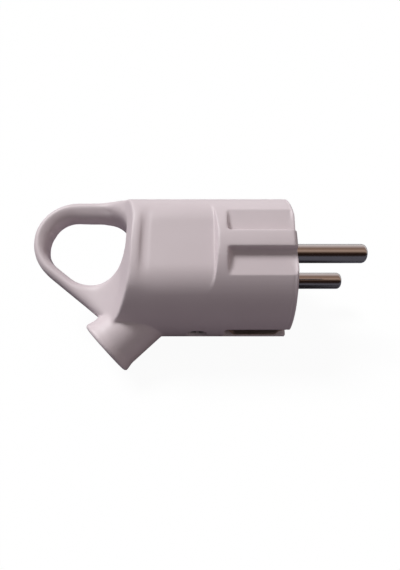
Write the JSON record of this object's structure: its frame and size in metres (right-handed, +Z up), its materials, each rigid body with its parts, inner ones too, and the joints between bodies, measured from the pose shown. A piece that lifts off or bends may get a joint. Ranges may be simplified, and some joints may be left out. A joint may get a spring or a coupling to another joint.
{
  "type": "mains plug",
  "caption": "White type F mains plug for wiring by hand, with round pins, side earth contacts, guide notches, finger grips, a finger loop and an angled cable outlet.",
  "frame": {"origin": "centre of the bounding box at the surface that the plug lies on", "axes": "+X along the pins, away from the body; +Z up from the surface; the plug lies on its round body and on the lip of the cable outlet, which points to -Y"},
  "size_m": [0.0876, 0.0434, 0.037],
  "materials": {
    "housing_plastic": "moulded, slightly glossy",
    "carrier_plastic": "moulded, matt",
    "pin_metal": "nickel plated, drawn",
    "earth_metal": "rolled strip",
    "screw_steel": "zinc plated"
  },
  "bodies": {
    "root": {"housing": "housing_plastic", "contact_carrier": "carrier_plastic", "live_pin": "pin_metal", "neutral_pin": "pin_metal", "live_terminal_screw": "screw_steel", "neutral_terminal_screw": "screw_steel", "earth_bracket": "earth_metal", "earth_clamp_plate": "screw_steel", "earth_terminal_screw": "screw_steel", "cord_clamp": "carrier_plastic", "cord_clamp_screw_left": "screw_steel", "cord_clamp_screw_right": "screw_steel", "housing_screw": "screw_steel", "housing_nut": "screw_steel"}
  },
  "joints": []
}
